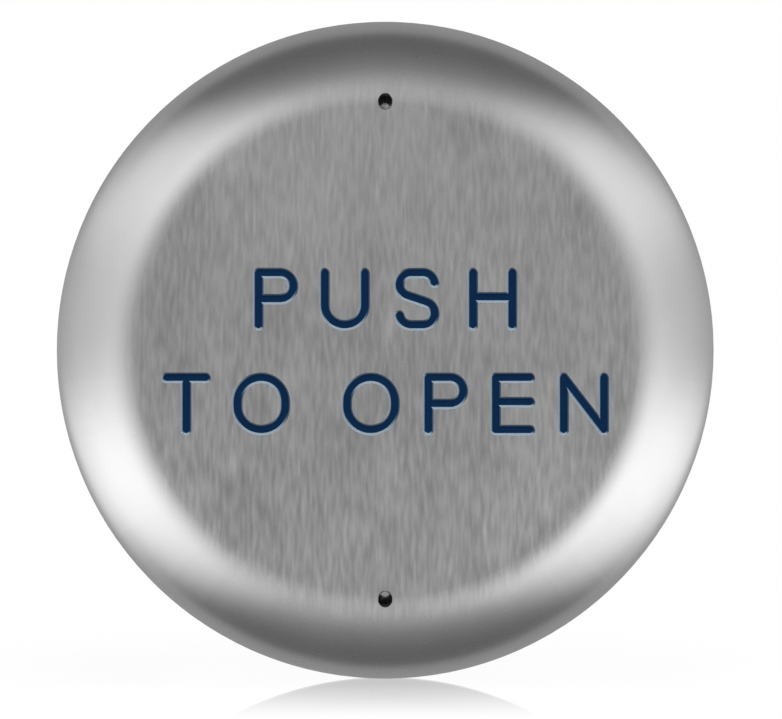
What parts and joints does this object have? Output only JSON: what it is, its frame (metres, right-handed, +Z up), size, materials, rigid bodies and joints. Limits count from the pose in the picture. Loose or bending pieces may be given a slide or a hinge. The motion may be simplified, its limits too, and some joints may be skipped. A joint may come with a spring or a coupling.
{
  "type": "door release button",
  "caption": "Round dished steel push plate on sprung guides that works a snap switch, for releasing a door beside it.",
  "frame": {"origin": "on the plate's axis, in the plane of the wall that the back plate is screwed to", "axes": "+Y into the wall, the plate faces -Y, +Z up"},
  "size_m": [0.1524, 0.0363, 0.1524],
  "materials": {
    "brushed_steel": "vertical brushing, satin",
    "blue_enamel": "gloss enamel",
    "zinc_steel": "bright zinc plate",
    "plated_fastener": "zinc plate",
    "bright_screw": "turned bright",
    "spring_steel": "drawn or rolled",
    "acetal": "moulded satin",
    "rubber": "matt",
    "switch_moulding": "moulded",
    "plunger_moulding": "moulded",
    "brass": "stamped strip",
    "silver": "pressed"
  },
  "bodies": {
    "wall_base": {"back_plate": "zinc_steel", "threaded_bushes": "plated_fastener", "captive_screws": "bright_screw", "retaining_clips": "spring_steel", "upper_return_spring": "spring_steel", "lower_return_spring": "spring_steel", "upper_left_bumper": "rubber", "upper_right_bumper": "rubber", "lower_left_bumper": "rubber", "lower_right_bumper": "rubber", "switch_bracket": "zinc_steel", "bracket_screws": "plated_fastener", "switch_case": "switch_moulding", "switch_cover": "switch_moulding", "switch_screws": "plated_fastener", "switch_nuts": "plated_fastener", "common_terminal": "brass", "normally_open_terminal": "brass", "normally_closed_terminal": "brass", "fixed_contacts": "silver"},
    "press_plate": {"push_plate": "brushed_steel", "legend_paint": "blue_enamel", "carrier_bar": "zinc_steel", "weld_studs": "plated_fastener", "stud_washers": "plated_fastener", "stud_nuts": "plated_fastener", "striker_pad": "acetal"},
    "lever": {"switch_lever": "spring_steel", "lever_pin": "plated_fastener"},
    "plunger": {"switch_plunger": "plunger_moulding"},
    "blade": {"snap_blade": "brass", "moving_contact": "silver"}
  },
  "joints": [
    {"name": "press", "type": "slide", "parent": "wall_base", "child": "press_plate", "axis": [0, 1, 0], "range_m": [0, 0.0025], "stiffness_N_per_m": 1450, "springref_m": -0.0042, "deforming": ["upper_return_spring", "lower_return_spring"]},
    {"name": "lever_swing", "type": "hinge", "parent": "wall_base", "child": "lever", "pos_m": [-0.02, -0.0139, 0], "axis": [0, 0, 1], "range_deg": [0, 7.2]},
    {"name": "plunger_slide", "type": "slide", "parent": "wall_base", "child": "plunger", "axis": [0, 1, 0], "range_m": [0, 0.0011]},
    {"name": "blade_swing", "type": "hinge", "parent": "wall_base", "child": "blade", "pos_m": [-0.0032, -0.0062, 0], "axis": [0, 0, -1], "range_deg": [0, 7.4]}
  ],
  "couplings": [
    {"joint": "lever_swing", "follows": "press", "rad_per_m": 50},
    {"joint": "plunger_slide", "follows": "press", "ratio": 0.425},
    {"joint": "blade_swing", "follows": "press", "rad_per_m": 51.205}
  ]
}
